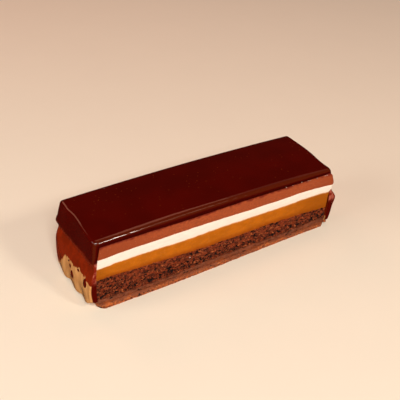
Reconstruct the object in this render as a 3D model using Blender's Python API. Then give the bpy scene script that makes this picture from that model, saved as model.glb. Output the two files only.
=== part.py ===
"""A bar of layered chocolate cake, cut from a slab that was glazed over its top and ends.

X runs along the bar, -Y is a cut side that shows the layers, +Z is up.
The origin is under the middle of the bar, on the surface that it stands on.
From the bottom up the bar has a crunchy base, a thin ganache, a chocolate sponge, an apricot jelly,
a white cream, a chocolate mousse and the dark glaze, which also runs down both ends.
"""

import math
from collections import namedtuple

import bmesh
import bpy
from mathutils import Vector, noise

MM = 0.001
GAP = 0.3 * MM

# The bar as a whole. The two ends are the glazed ones, the two long sides are cut.
HALF_LENGTH = 60.0 * MM
HALF_WIDTH = 17.7 * MM
TOP_HEIGHT = 37.3 * MM
TOP_FALL = 0.7 * MM
TOP_ARCH = 1.1 * MM
TOP_CROWN = 0.35 * MM

# The ends of the layers bow outward and are furthest out at the height of the sponge.
BULGE_HEIGHT = 12.0 * MM
BULGE_SPAN = 33.0 * MM
BULGE_FALL = 6.2 * MM
LEFT_REACH = 61.2 * MM
RIGHT_REACH = 62.6 * MM

# The upright edges are crisp, but the two front ones grow round toward the foot.
UPRIGHT_CORNER_RADIUS = 0.8 * MM
FOOT_CORNER_RADIUS = 5.0 * MM
CORNER_BLEND_HEIGHT = 12.0 * MM

# The front side leans in at its foot, from nothing at the left to this at the right end.
FRONT_LEAN = 2.2 * MM
LEAN_START = -40.0 * MM

# A border between two layers: its height in the middle, how far it falls from the middle to the
# right end (and rises to the left one), its wave, and how far it turns up at each end.
Border = namedtuple("Border", "height fall wave length phase left_lift right_lift")
UNDER_GLAZE = Border(32.2 * MM, 0.6 * MM, 0.10 * MM, 52 * MM, 0.4, 0.2 * MM, 0.0 * MM)
UNDER_MOUSSE = Border(26.2 * MM, 1.1 * MM, 0.22 * MM, 70 * MM, 2.6, -0.8 * MM, -0.7 * MM)
UNDER_CREAM = Border(21.5 * MM, 0.8 * MM, 0.15 * MM, 46 * MM, 1.0, -0.2 * MM, -0.2 * MM)
UNDER_JELLY = Border(13.6 * MM, 1.9 * MM, 0.30 * MM, 80 * MM, 5.1, 0.6 * MM, -0.4 * MM)
UNDER_SPONGE = Border(4.8 * MM, 0.2 * MM, 0.30 * MM, 60 * MM, 1.6, 0.1 * MM, 0.2 * MM)
UNDER_GANACHE = Border(2.4 * MM, 0.4 * MM, 0.20 * MM, 44 * MM, 2.4, -0.1 * MM, 0.0 * MM)
LIFT_START = 0.72

# How far each layer's cut sides stand proud of the nominal width, and how much they bulge.
Side = namedtuple("Side", "proud bulge roughness grain")
MOUSSE_SIDE = Side(0.05 * MM, 0.20 * MM, 0.03 * MM, 9 * MM)
CREAM_SIDE = Side(0.00 * MM, 0.15 * MM, 0.03 * MM, 12 * MM)
JELLY_SIDE = Side(-0.10 * MM, 0.20 * MM, 0.03 * MM, 14 * MM)
SPONGE_SIDE = Side(-0.30 * MM, 0.10 * MM, 0.75 * MM, 3.1 * MM)
GANACHE_SIDE = Side(-0.05 * MM, 0.15 * MM, 0.12 * MM, 7 * MM)
BASE_SIDE = Side(-0.35 * MM, 0.10 * MM, 0.50 * MM, 3.4 * MM)

# The glaze: a rounded lip along the cut sides, a shoulder at each end, and a scalloped rim.
LIP_OVERHANG = 0.35 * MM
LIP_RADIUS = 1.7 * MM
LIP_STEPS = 3
SKIN_FOOT = 2.9 * MM
SKIN_TOP_FRONT = 0.9 * MM
SKIN_TOP_BACK = 2.2 * MM
SKIN_THIN_START = 8.0 * MM
SKIN_THIN_END = 26.0 * MM
SHOULDER_FRONT = 25.2 * MM
SHOULDER_BACK = 26.8 * MM
SHOULDER_LIP_FRONT = 0.35 * MM
SHOULDER_LIP_BACK = 0.95 * MM
SHOULDER_LIP_SIZE = 2.4 * MM
SHOULDER_ROUND = 0.6 * MM
RIDGE_REACH = 59.8 * MM
RIDGE_DROP = 0.9 * MM
RIDGE_WIDTH = 1.3 * MM
RIM_HEIGHT = 1.0 * MM
RIM_NOTCH = 1.4 * MM
NOTCH_PLACE = 4.3 * MM
LOBE_LENGTH = 12.0 * MM
LOBE_SWELL = 0.6 * MM
DRIP_SIZE = 2.1 * MM
DRIP_HEIGHT = 15.5 * MM
DRIP_SPREAD = 3.8 * MM
DRIP_DEPTH = 6.0 * MM
FRONT_RISE = 3.2 * MM
FRONT_RISE_START = 9.0 * MM
BACK_RISE = 0.8 * MM

# Colours of the pieces, as linear red, green and blue.
CRUNCH_COLOR = (0.38, 0.10, 0.03)
GANACHE_COLOR = (0.21, 0.05, 0.02)
SPONGE_COLOR = (0.17, 0.03, 0.01)
JELLY_COLOR = (0.60, 0.14, 0.01)
CREAM_COLOR = (0.95, 0.84, 0.62)
MOUSSE_COLOR = (0.43, 0.08, 0.03)
GLAZE_COLOR = (0.045, 0.006, 0.002)

# How finely the surfaces are divided.
WALL_STEPS = 11
SHOULDER_STEPS = 4
TOP_STEPS = 18
GLAZE_ACROSS = 13
LAYER_COLUMNS = 24
LAYER_ACROSS = 6
CRUMB_COLUMNS = 48


def smooth_step(value):
    """0 below 0, 1 above 1 and an S-shaped rise between them."""
    clamped = min(max(value, 0.0), 1.0)
    return clamped * clamped * (3.0 - 2.0 * clamped)


def top_surface(x, y):
    """Height of the top of the glaze, which arches a little both ways."""
    along = x / HALF_LENGTH
    across = y / HALF_WIDTH
    return TOP_HEIGHT - TOP_FALL * along - TOP_ARCH * along**2 - TOP_CROWN * across**2


def border_height(border, x):
    """Height of the border between two layers at a place along the bar."""
    along = x / HALF_LENGTH
    lift = border.left_lift * smooth_step((-along - LIFT_START) / (1.0 - LIFT_START))
    lift += border.right_lift * smooth_step((along - LIFT_START) / (1.0 - LIFT_START))
    wave = border.wave * math.sin(math.tau * x / border.length + border.phase)
    return border.height - border.fall * along + wave + lift


def layer_end(side, z):
    """Distance from the middle to the end of the layers, on the left (-1) or the right (1)."""
    reach = RIGHT_REACH if side > 0 else LEFT_REACH
    return reach - BULGE_FALL * ((z - BULGE_HEIGHT) / BULGE_SPAN) ** 2


def skin_thickness(y, z):
    """Thickness of the glaze on an end: thin under the shoulder, most of all near the front."""
    top = SKIN_TOP_FRONT + (SKIN_TOP_BACK - SKIN_TOP_FRONT) * smooth_step(0.5 + 0.5 * y / HALF_WIDTH)
    thinning = smooth_step((z - SKIN_THIN_START) / (SKIN_THIN_END - SKIN_THIN_START))
    return SKIN_FOOT + (top - SKIN_FOOT) * thinning


def rounded_corner(x, y, z):
    """Moves a point near an upright edge inward, so that the edge is round in plan."""
    side = 1.0 if x > 0.0 else -1.0
    radius = UPRIGHT_CORNER_RADIUS
    if y < 0.0:
        radius += FOOT_CORNER_RADIUS * max(0.0, 1.0 - z / CORNER_BLEND_HEIGHT) ** 2
    straight_x = layer_end(side, z) + GAP + skin_thickness(y, z) - radius
    straight_y = HALF_WIDTH + LIP_OVERHANG - radius
    past_x = (abs(x) - straight_x) / radius
    past_y = (abs(y) - straight_y) / radius
    if past_x <= 0.0 or past_y <= 0.0:
        return x, y
    round_x = past_x * math.sqrt(max(0.0, 1.0 - 0.5 * min(past_y, 1.2) ** 2))
    round_y = past_y * math.sqrt(max(0.0, 1.0 - 0.5 * min(past_x, 1.2) ** 2))
    return side * (straight_x + radius * round_x), math.copysign(straight_y + radius * round_y, y)


def leaned(x, y, z):
    """The shift of a point toward the back that makes the front side lean."""
    run = smooth_step((x - LEAN_START) / (HALF_LENGTH - LEAN_START))
    frontness = 0.5 - 0.5 * y / HALF_WIDTH
    return FRONT_LEAN * run * max(0.0, 1.0 - z / TOP_HEIGHT) * frontness


def settled(x, y, z):
    """Takes a point of the straight-edged bar to its place on the real one."""
    x, y = rounded_corner(x, y, z)
    return Vector((x, y + leaned(x, y, z), z))


def lattice_box(along, across, up):
    """A closed box of square faces whose points have whole-number coordinates."""
    shape = bmesh.new()
    bmesh.ops.create_cube(shape, size=1.0)
    for axis, steps in enumerate((along, across, up)):
        if steps > 1:
            edges = [e for e in shape.edges if abs(e.verts[0].co[axis] - e.verts[1].co[axis]) > 0.5]
            bmesh.ops.subdivide_edges(shape, edges=edges, cuts=steps - 1, use_grid_fill=True)
    for vertex in shape.verts:
        vertex.co.x = round((vertex.co.x + 0.5) * along)
        vertex.co.y = round((vertex.co.y + 0.5) * across)
        vertex.co.z = round((vertex.co.z + 0.5) * up)
    return shape


def finish(shape, name, color, roughness):
    """Turns a shape into a named object with its own material."""
    mesh = bpy.data.meshes.new(name)
    bmesh.ops.recalc_face_normals(shape, faces=shape.faces)
    shape.to_mesh(mesh)
    shape.free()
    mesh.shade_smooth()
    mesh.set_sharp_from_angle(angle=math.radians(40))
    piece = bpy.data.objects.new(name, mesh)
    bpy.context.collection.objects.link(piece)
    material = bpy.data.materials.new(name)
    material.use_nodes = True
    shader = material.node_tree.nodes["Principled BSDF"]
    shader.inputs["Base Color"].default_value = (*color, 1.0)
    shader.inputs["Roughness"].default_value = roughness
    shader.inputs["Metallic"].default_value = 0.0
    mesh.materials.append(material)
    return piece


def side_relief(x, z, side, seed):
    """Depth of the crumb on a cut side: mostly shallow, with a few deeper pits."""
    place = Vector((x / side.grain + seed, z / (0.8 * side.grain), seed))
    coarse = noise.noise(place)
    fine = noise.noise(place * 2.3)
    return side.roughness * (0.7 * coarse + 0.5 * fine)


def layer(name, lower, upper, side, columns, rows, color, roughness):
    """One layer of the bar, from cut side to cut side and from end to end."""
    shape = lattice_box(columns, LAYER_ACROSS, rows)
    seed = len(name) * 1.7
    for vertex in shape.verts:
        i, j, k = vertex.co
        along = 2.0 * i / columns - 1.0
        across = math.sin(0.5 * math.pi * (2.0 * j / LAYER_ACROSS - 1.0))
        level = k / rows
        if columns == LAYER_COLUMNS:
            along = math.sin(0.5 * math.pi * along)
        x_guess = along * HALF_LENGTH
        bottom = border_height(lower, x_guess) + 0.5 * GAP if lower else 0.0
        top = border_height(upper, x_guess) - 0.5 * GAP
        z = bottom + level * (top - bottom)
        end = layer_end(math.copysign(1.0, along), z)
        x = along * end
        bottom = border_height(lower, x) + 0.5 * GAP if lower else 0.0
        top = border_height(upper, x) - 0.5 * GAP
        z = bottom + level * (top - bottom)
        y = across * HALF_WIDTH
        if j in (0, LAYER_ACROSS):
            bow = side.bulge * (1.0 - (2.0 * level - 1.0) ** 2)
            inner = 0.0 if k in (0, rows) else 1.0
            relief = side_relief(x, z, side, seed + 5.0 * j) * (0.45 + 0.55 * inner)
            y = math.copysign(HALF_WIDTH + side.proud + bow + relief, y)
        vertex.co = settled(x, y, z)
    return finish(shape, name, color, roughness)


def lobe_phase(y):
    """1 in a notch of the rim, 0 at the tip of a lobe."""
    return 0.5 + 0.5 * math.cos(math.tau * (y - NOTCH_PLACE) / LOBE_LENGTH)


def rim_height(y):
    """Height of the glaze's lower edge, which hangs in lobes and rises to the cut sides."""
    front = FRONT_RISE * smooth_step((-y - FRONT_RISE_START) / (HALF_WIDTH - FRONT_RISE_START))
    back = BACK_RISE * smooth_step((y - FRONT_RISE_START) / (HALF_WIDTH - FRONT_RISE_START))
    return RIM_HEIGHT + RIM_NOTCH * lobe_phase(y) ** 2 + front + back


def shoulder_height(y):
    """Height of the shoulder's lip, a little lower toward the front."""
    across = smooth_step(0.5 + 0.5 * y / HALF_WIDTH)
    return SHOULDER_FRONT + (SHOULDER_BACK - SHOULDER_FRONT) * across


def skin_reach(side, y, z):
    """Distance from the middle to the outside of the glaze on one end.

    The right end has a run of glaze that sags near the front edge.
    """
    across = smooth_step(0.5 + 0.5 * y / HALF_WIDTH)
    size = SHOULDER_LIP_FRONT + (SHOULDER_LIP_BACK - SHOULDER_LIP_FRONT) * across
    above = (z - shoulder_height(y)) / SHOULDER_LIP_SIZE
    lip = size * (math.exp(-(above**2)) - math.exp(-((above + 1.7) ** 2)))
    swell = LOBE_SWELL * (0.5 - lobe_phase(y)) * smooth_step(1.0 - z / (1.6 * BULGE_HEIGHT))
    reach = layer_end(side, z) + GAP + skin_thickness(y, z) + swell + lip
    if side > 0.0:
        behind = (y + HALF_WIDTH) / DRIP_DEPTH
        reach += DRIP_SIZE * math.exp(-(((z - DRIP_HEIGHT) / DRIP_SPREAD) ** 2) - behind**2)
    return reach


def glaze_outside(side, y):
    """The outer points of one end at a place across the bar, from the rim to the top."""
    points = []
    rim = rim_height(y)
    shoulder = shoulder_height(y)
    for step in range(WALL_STEPS + 1):
        z = rim + (shoulder - rim) * step / WALL_STEPS
        points.append((skin_reach(side, y, z), z))
    start = Vector(points[-1])
    ridge_z = top_surface(side * RIDGE_REACH, y) - RIDGE_DROP
    ridge = Vector((RIDGE_REACH, ridge_z))
    pull = 0.5 * (start + ridge) + Vector((SHOULDER_ROUND, SHOULDER_ROUND))
    for step in range(1, SHOULDER_STEPS + 1):
        t = step / SHOULDER_STEPS
        points.append(tuple(start * (1 - t) ** 2 + pull * 2 * t * (1 - t) + ridge * t**2))
    inward = RIDGE_REACH - RIDGE_WIDTH
    points.append((inward, top_surface(side * inward, y)))
    return points


def glaze_inside(side, y):
    """The inner points of one end that go with glaze_outside, from the rim over the corner."""
    points = []
    rim = rim_height(y)
    corner_z = border_height(UNDER_GLAZE, side * layer_end(side, UNDER_GLAZE.height)) + 0.5 * GAP
    count = WALL_STEPS + SHOULDER_STEPS
    for step in range(count + 1):
        z = rim + (corner_z - rim) * step / count
        points.append((layer_end(side, z) + GAP, z))
    inward = points[-1][0] - 2.5 * MM
    points.append((inward, border_height(UNDER_GLAZE, side * inward) + 0.5 * GAP))
    return points


def glaze_stations(y):
    """Matching lists of outer and inner points, from the left rim over the top to the right rim."""
    outer_left = [(-reach, z) for reach, z in glaze_outside(-1.0, y)]
    inner_left = [(-reach, z) for reach, z in glaze_inside(-1.0, y)]
    outer_right = glaze_outside(1.0, y)[::-1]
    inner_right = glaze_inside(1.0, y)[::-1]
    outer_top = []
    inner_top = []
    for step in range(1, TOP_STEPS):
        t = step / TOP_STEPS
        x = outer_left[-1][0] + t * (outer_right[0][0] - outer_left[-1][0])
        outer_top.append((x, top_surface(x, y)))
        x = inner_left[-1][0] + t * (inner_right[0][0] - inner_left[-1][0])
        inner_top.append((x, border_height(UNDER_GLAZE, x) + 0.5 * GAP))
    return outer_left + outer_top + outer_right, inner_left + inner_top + inner_right


def across_stations():
    """Places across the bar, each with how much of the lip's rounding is left there."""
    edge = HALF_WIDTH + LIP_OVERHANG
    front = []
    for step in range(LIP_STEPS + 1):
        angle = 0.5 * math.pi * step / LIP_STEPS
        front.append((-edge + LIP_RADIUS * (1.0 - math.cos(angle)), 1.0 - math.sin(angle)))
    start = front[-1][0]
    middle = [(start * (1.0 - 2.0 * step / GLAZE_ACROSS), 0.0) for step in range(1, GLAZE_ACROSS)]
    back = [(-y, left) for y, left in reversed(front)]
    return front + middle + back


def glaze():
    """The glaze: a plate over the top with a skirt down each end."""
    places = across_stations()
    lines = [glaze_stations(y) for y, rounding in places]
    shape = lattice_box(len(lines[0][0]) - 1, len(places) - 1, 1)
    for vertex in shape.verts:
        i, j, k = (int(value) for value in vertex.co)
        y, rounding = places[j]
        outside, inside = (Vector(line[i]) for line in lines[j])
        point = inside
        if k == 1:
            thickness = (outside - inside).length
            inset = min(LIP_RADIUS, 0.45 * thickness) * rounding
            point = outside + (inside - outside) * (inset / thickness)
        vertex.co = settled(point.x, y, point.y)
    return finish(shape, "glaze", GLAZE_COLOR, 0.08)


def centre_footprint(pieces):
    """Moves the pieces so that the box around them has its middle on the Z axis."""
    points = [vertex.co for piece in pieces for vertex in piece.data.vertices]
    middle_x = 0.5 * (min(p.x for p in points) + max(p.x for p in points))
    middle_y = 0.5 * (min(p.y for p in points) + max(p.y for p in points))
    shift = Vector((middle_x, middle_y, 0.0))
    for piece in pieces:
        for vertex in piece.data.vertices:
            vertex.co -= shift


def main():
    """Builds the seven layers from the bottom up."""
    for old in list(bpy.data.objects):
        bpy.data.objects.remove(old, do_unlink=True)
    crumb = CRUMB_COLUMNS
    soft = LAYER_COLUMNS
    pieces = [
        layer("crunch_base", None, UNDER_GANACHE, BASE_SIDE, crumb, 2, CRUNCH_COLOR, 0.8),
        layer("ganache", UNDER_GANACHE, UNDER_SPONGE, GANACHE_SIDE, soft, 2, GANACHE_COLOR, 0.5),
        layer("sponge", UNDER_SPONGE, UNDER_JELLY, SPONGE_SIDE, crumb, 5, SPONGE_COLOR, 0.9),
        layer("jelly", UNDER_JELLY, UNDER_CREAM, JELLY_SIDE, soft, 2, JELLY_COLOR, 0.3),
        layer("cream", UNDER_CREAM, UNDER_MOUSSE, CREAM_SIDE, soft, 2, CREAM_COLOR, 0.5),
        layer("mousse", UNDER_MOUSSE, UNDER_GLAZE, MOUSSE_SIDE, soft, 2, MOUSSE_COLOR, 0.6),
        glaze(),
    ]
    centre_footprint(pieces)


main()
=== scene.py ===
"""The looks of a bar of layered chocolate cake with a mirror glaze.

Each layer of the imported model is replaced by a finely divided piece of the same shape.
The cut sides get their crumb, pores and smears, and the glaze its ripples, runs and drops.
Lengths at the top of the file are in millimetres and turned into metres when a piece is finished.
"""

import math
import random
from collections import namedtuple

import bmesh
import bpy
from bpy.props import FloatProperty, FloatVectorProperty, PointerProperty
from bpy.types import Operator, Panel, PropertyGroup
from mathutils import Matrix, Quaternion, Vector, noise


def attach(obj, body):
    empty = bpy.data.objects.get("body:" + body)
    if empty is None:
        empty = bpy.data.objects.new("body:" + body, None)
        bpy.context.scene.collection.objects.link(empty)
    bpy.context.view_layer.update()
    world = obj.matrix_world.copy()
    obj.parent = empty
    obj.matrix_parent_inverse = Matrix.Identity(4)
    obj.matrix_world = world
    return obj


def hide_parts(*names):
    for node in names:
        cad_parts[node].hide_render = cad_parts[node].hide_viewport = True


bl_info = {
    "name": "Layered Cake Bar",
    "version": (1, 0, 0),
    "blender": (4, 5, 0),
    "location": "View3D > Sidebar > Cake Bar",
    "description": "Builds a glazed bar of layered chocolate cake piece by piece",
    "category": "Object",
}

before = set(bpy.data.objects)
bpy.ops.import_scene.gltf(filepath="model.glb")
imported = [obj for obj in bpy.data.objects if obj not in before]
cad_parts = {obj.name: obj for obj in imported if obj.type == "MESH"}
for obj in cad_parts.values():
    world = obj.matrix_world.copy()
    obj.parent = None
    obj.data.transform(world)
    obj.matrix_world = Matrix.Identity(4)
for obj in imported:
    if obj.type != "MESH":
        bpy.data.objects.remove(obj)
MM = 0.001

# The bar as a whole. The two ends are the glazed ones, the two long sides are cut.
HALF_LENGTH = 60.0
HALF_WIDTH = 17.7
TOP_HEIGHT = 37.3
TOP_FALL = 0.7
TOP_ARCH = 1.1
TOP_CROWN = 0.35
FOOTPRINT_MIDDLE = 1.2225

# The ends of the layers bow outward and are furthest out at the height of the sponge.
BULGE_HEIGHT = 12.0
BULGE_SPAN = 33.0
BULGE_FALL = 6.2
LEFT_REACH = 61.2
RIGHT_REACH = 62.6
CORNER_RADIUS = 0.8
FOOT_CORNER_RADIUS = 5.0
LAYER_CORNER_RADIUS = 3.0
RIGHT_FOOT_SHARE = 0.45
CORNER_BLEND_HEIGHT = 12.0
FRONT_LEAN = 2.2
LEAN_START = -40.0

# A border between two layers: its height in the middle, how far it falls from the middle to the
# right end, its slow wave, how far it turns up at each end, and how ragged the cut left it.
Border = namedtuple("Border", "height fall wave length phase left_lift right_lift ragged grain")
UNDER_GLAZE = Border(32.2, 0.6, 0.10, 52, 0.4, 0.2, 0.0, 0.14, 5.0)
UNDER_MOUSSE = Border(26.2, 1.1, 0.22, 70, 2.6, -0.8, -0.7, 0.18, 4.0)
UNDER_CREAM = Border(21.5, 0.8, 0.15, 46, 1.0, -0.2, -0.2, 0.28, 4.0)
UNDER_JELLY = Border(13.6, 1.9, 0.30, 80, 5.1, 0.6, -0.4, 0.42, 2.2)
UNDER_SPONGE = Border(4.8, 0.2, 0.30, 60, 1.6, 0.1, 0.2, 0.36, 2.6)
UNDER_GANACHE = Border(2.4, 0.4, 0.20, 44, 2.4, -0.1, 0.0, 0.34, 2.4)
LIFT_START = 0.72

# How a cut side stands: how proud, how much it bulges, and the depth and grain of its crumb.
Side = namedtuple("Side", "proud bulge roughness grain")
MOUSSE_SIDE = Side(0.05, 0.20, 0.05, 9.0)
CREAM_SIDE = Side(0.00, 0.15, 0.05, 12.0)
JELLY_SIDE = Side(-0.10, 0.20, 0.06, 14.0)
SPONGE_SIDE = Side(-0.10, 0.10, 0.62, 3.2)
GANACHE_SIDE = Side(0.12, 0.10, 0.14, 7.0)
CRUNCH_SIDE = Side(0.55, 0.10, 0.34, 3.4)

# Open pores in a crumb: the size of the cells that may hold one, how much longer than high they
# are, the share of cells that are open, and the depth of the deepest.
Pores = namedtuple("Pores", "cell stretch share depth")
SPONGE_PORES = Pores(1.50, 1.5, 0.27, 1.80)
CRUNCH_PORES = Pores(1.15, 1.3, 0.24, 0.80)
GANACHE_PORES = Pores(2.60, 1.4, 0.06, 0.30)
NO_PORES = Pores(1.0, 1.0, 0.0, 0.0)
PORE_BAND = 0.20
PORE_BAND_WIDTH = 0.16
PORE_BAND_SHARE = 0.70
PORE_SIZE = 0.14
PORE_SIZE_SPREAD = 0.30
PORE_WARP = 0.5

# The glaze: a lip along the cut sides, a shoulder and thin skin at each end, a scalloped rim.
LIP_OVERHANG = 0.35
LIP_SLOPE = math.radians(6)
LIP_HEIGHT = 4.0
LIP_ROUND = 2.7
LIP_TAPER = 0.97
LIP_DROOP = 1.2
LIP_DROOP_START = -3.0
LIP_RIPPLE = 0.13
NICK_PLACE = 43.6
NICK_WIDTH = 0.9
NICK_DEPTH = 0.14
SKIN_GAP = 0.3
SKIN_KEENNESS = 2.4
KEEN_START = 3.0
KEEN_RUN = 4.0
SKIN_FOOT = 2.9
SKIN_TOP_FRONT = 0.9
SKIN_TOP_BACK = 2.2
SKIN_THIN_START = 8.0
SKIN_THIN_END = 26.0
SHOULDER_FRONT = 25.2
SHOULDER_BACK = 26.8
SHOULDER_LIP_FRONT = 0.35
SHOULDER_LIP_BACK = 0.95
SHOULDER_LIP_SIZE = 2.4
SHOULDER_ROUND = 0.3
SHOULDER_RISE = 1.2
RIDGE_REACH_LEFT = 61.2
RIDGE_REACH_RIGHT = 60.6
CORNER_REACH = 0.9
CORNER_START = 9.0
CORNER_WIDTH = 8.5
RIDGE_DROP = 0.7
RIDGE_WIDTH = 1.0
RIM_HEIGHT = 1.0
RIM_NOTCH = 1.4
NOTCH_PLACE = 4.3
LOBE_LENGTH = 12.0
LOBE_SWELL = 0.6
RUN_SIZE = 2.1
RUN_HEIGHT = 15.5
RUN_SPREAD = 3.8
RUN_DEPTH = 6.0
FRONT_RISE = 3.2
FRONT_RISE_START = 9.0
RIGHT_FRONT_RISE = 0.4
BACK_RISE = 0.8

# The upper edge of the painted reflection low on the ends, as places across the bar with their
# heights. Below it the glaze's colour gets a pale patch that is a painted reflection of the floor.
PAINTED_REFLECTION_EDGE = (
    (-19, 13.6),
    (-12.5, 15.3),
    (-6.3, 15.6),
    (0, 14.6),
    (6.5, 14.6),
    (10, 11.0),
    (14.3, 6.0),
    (19, 5.0),
)
# Drops that hang on the ends: place across, height, half width and half height.
END_DROPS = (
    (-12.8, 12.9, 1.5, 2.3),
    (0.1, 8.7, 1.6, 2.2),
    (1.7, 12.4, 0.8, 1.1),
    (-6.0, 15.0, 1.0, 0.6),
    (3.0, 14.2, 0.5, 0.6),
)

# How far the layers are dragged out at the right end's front corner, by height, where that
# starts along the bar and across it, and how much of it goes forward as well.
END_DRAG = (
    (0, 0.0),
    (5, -0.2),
    (9, -0.9),
    (16, -0.7),
    (19.5, 0.0),
    (23, 1.2),
    (26, 1.9),
    (30, 1.5),
    (32.5, 0.0),
)
SMEAR_START = 0.93
SMEAR_LENGTH = 0.07
SMEAR_FRONT = 12.0
SMEAR_WIDTH = 5.0
SMEAR_FORWARD = 0.4

# Pale crumbs and painted highlights on the front: place along the bar, height and size. The first is a
# pale crumb in the sponge; the others, along the foot of the glaze's lip, are pale specks painted as
# highlights in place of glints.
PALE_CRUMBS_AND_GLINTS = (
    (-15.7, 11.3, 0.34),
    (35.0, 31.9, 0.20),
    (38.6, 31.7, 0.20),
    (43.8, 31.8, 0.23),
    (47.5, 31.5, 0.20),
    (48.6, 31.3, 0.19),
    (52.8, 31.3, 0.21),
    (57.6, 31.1, 0.28),
    (58.8, 31.0, 0.23),
)
PALE_CRUMB_AND_GLINT_PROUD = 0.3

# A lump of crumb at the foot of the right front corner, and the crumbs on each cut side.
FOOT_CRUMB_PLACE = (63.4, 0.4 - HALF_WIDTH, 1.7)
FOOT_CRUMB_SIZE = 1.1
CRUMB_SEED = 11
SPONGE_CRUMBS = 150
BASE_CRUMBS = 60

# How finely the pieces are divided.
CRUMB_CELL = 0.27
SOFT_CELL = 0.5
LAYER_ACROSS = 6
WALL_STEPS = 52
SHOULDER_STEPS = 16
TOP_STEPS = 230
GLAZE_ACROSS = 56
SLOPE_STEPS = 18
RIDGE_STEPS = 6

# Colours that are mixed into the ones from the settings.
BASE_TOP = (0.235, 0.056, 0.019)
PALE_GRAIN = (0.72, 0.31, 0.11)
GANACHE_VEIL = (0.27, 0.088, 0.044)
GANACHE_TOP_SHADOW = (0.085, 0.017, 0.005)
SPONGE_FLECK = (0.37, 0.090, 0.026)
JELLY_MILK = (0.80, 0.36, 0.12)
# Painted shadow at the top of the ganache.
JELLY_TOP = (0.86, 0.50, 0.24)
CREAM_FOOT = (0.88, 0.60, 0.34)
CREAM_TOP = (0.80, 0.50, 0.32)
MOUSSE_STAIN = (0.17, 0.009, 0.0006)
MOUSSE_DOT = (0.62, 0.25, 0.13)
SKIN_SMUDGE = (0.085, 0.016, 0.002)
EDGE_RED = (0.20, 0.014, 0.006)
EDGE_PINK = (0.42, 0.11, 0.07)
EDGE_DARK = (0.075, 0.002, 0.0004)
# Painted sheen on the upper round of the front lip, and painted shade lower on it.
PAINTED_LIP_SHEEN = (0.078, 0.0085, 0.0020)
PAINTED_LIP_SHADE = (0.030, 0.0006, 0.0001)
# The pale painted reflection of the floor low on the ends, with its darker streaks.
PAINTED_REFLECTION_DARK = (0.64, 0.29, 0.09)
PAINTED_REFLECTION_PALE = (0.84, 0.43, 0.15)
DROP_RED = (0.085, 0.003, 0.0008)
# Pale crumbs, and pale specks painted as highlights.
PALE_CRUMB_AND_GLINT = (0.70, 0.46, 0.36)

# The stage, in metres. The front lights are given by azimuth, elevation and distance.
FLOOR_REACH = 3.0
LIGHT_TARGET = (0.0, 0.0, 0.02)
FRONT_LIGHTS = ((-25.0, 42.0, 1.3), (16.6, 38.0, 0.75), (27.8, 38.0, 0.75), (-95.0, 28.0, 0.6))
WARM_LIGHT = (1.0, 0.40, 0.24)
ROOM_COLOR = (1.0, 0.4, 0.25, 1.0)
CAMERA_PLACE = (-0.16909, -0.26772, 0.23974)
CAMERA_LOOK = (0.43999, 0.70206, -0.55993)
CAMERA_ROLL = math.radians(1.5)
CAMERA_LENS = 75.36
SENSOR_WIDTH = 36.0


def smooth_step(value):
    """0 below 0, 1 above 1 and an S-shaped rise between them."""
    clamped = min(max(value, 0.0), 1.0)
    return clamped * clamped * (3.0 - 2.0 * clamped)


def table_value(table, place):
    """The value at a place, going smoothly from each entry of a table to the next."""
    for (place0, value0), (place1, value1) in zip(table, table[1:]):
        if place <= place1:
            return value0 + (value1 - value0) * smooth_step((place - place0) / (place1 - place0))
    return table[-1][1]


def top_surface(x, y):
    """Height of the top of the glaze, which arches a little both ways."""
    along = x / HALF_LENGTH
    across = y / HALF_WIDTH
    ripple = 0.03 * noise.noise(Vector((x / 17.0, y / 11.0, 2.0)))
    droop = LIP_DROOP * smooth_step((-y - LIP_DROOP_START) / (HALF_WIDTH - LIP_DROOP_START))
    droop *= 1.0 + 0.2 * along
    return TOP_HEIGHT - TOP_FALL * along - TOP_ARCH * along**2 - TOP_CROWN * across**2 + ripple - droop


def border_height(border, x):
    """Height of the border between two layers at a place along the bar."""
    along = x / HALF_LENGTH
    lift = border.left_lift * smooth_step((-along - LIFT_START) / (1.0 - LIFT_START))
    lift += border.right_lift * smooth_step((along - LIFT_START) / (1.0 - LIFT_START))
    wave = border.wave * math.sin(math.tau * x / border.length + border.phase)
    place = Vector((x / border.grain, border.height, 0.5))
    ragged = border.ragged * (noise.noise(place) + 0.5 * noise.noise(place * 2.7))
    return border.height - border.fall * along + wave + lift + ragged


def layer_end(side, z):
    """Distance from the middle to the end of the layers, on the left (-1) or the right (1)."""
    reach = RIGHT_REACH if side > 0 else LEFT_REACH
    return reach - BULGE_FALL * ((z - BULGE_HEIGHT) / BULGE_SPAN) ** 2


def skin_thickness(y, z):
    """Thickness of the glaze on an end: thin under the shoulder, most of all near the front."""
    top = SKIN_TOP_FRONT + (SKIN_TOP_BACK - SKIN_TOP_FRONT) * smooth_step(0.5 + 0.5 * y / HALF_WIDTH)
    thinning = smooth_step((z - SKIN_THIN_START) / (SKIN_THIN_END - SKIN_THIN_START))
    return SKIN_FOOT + (top - SKIN_FOOT) * thinning


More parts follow.
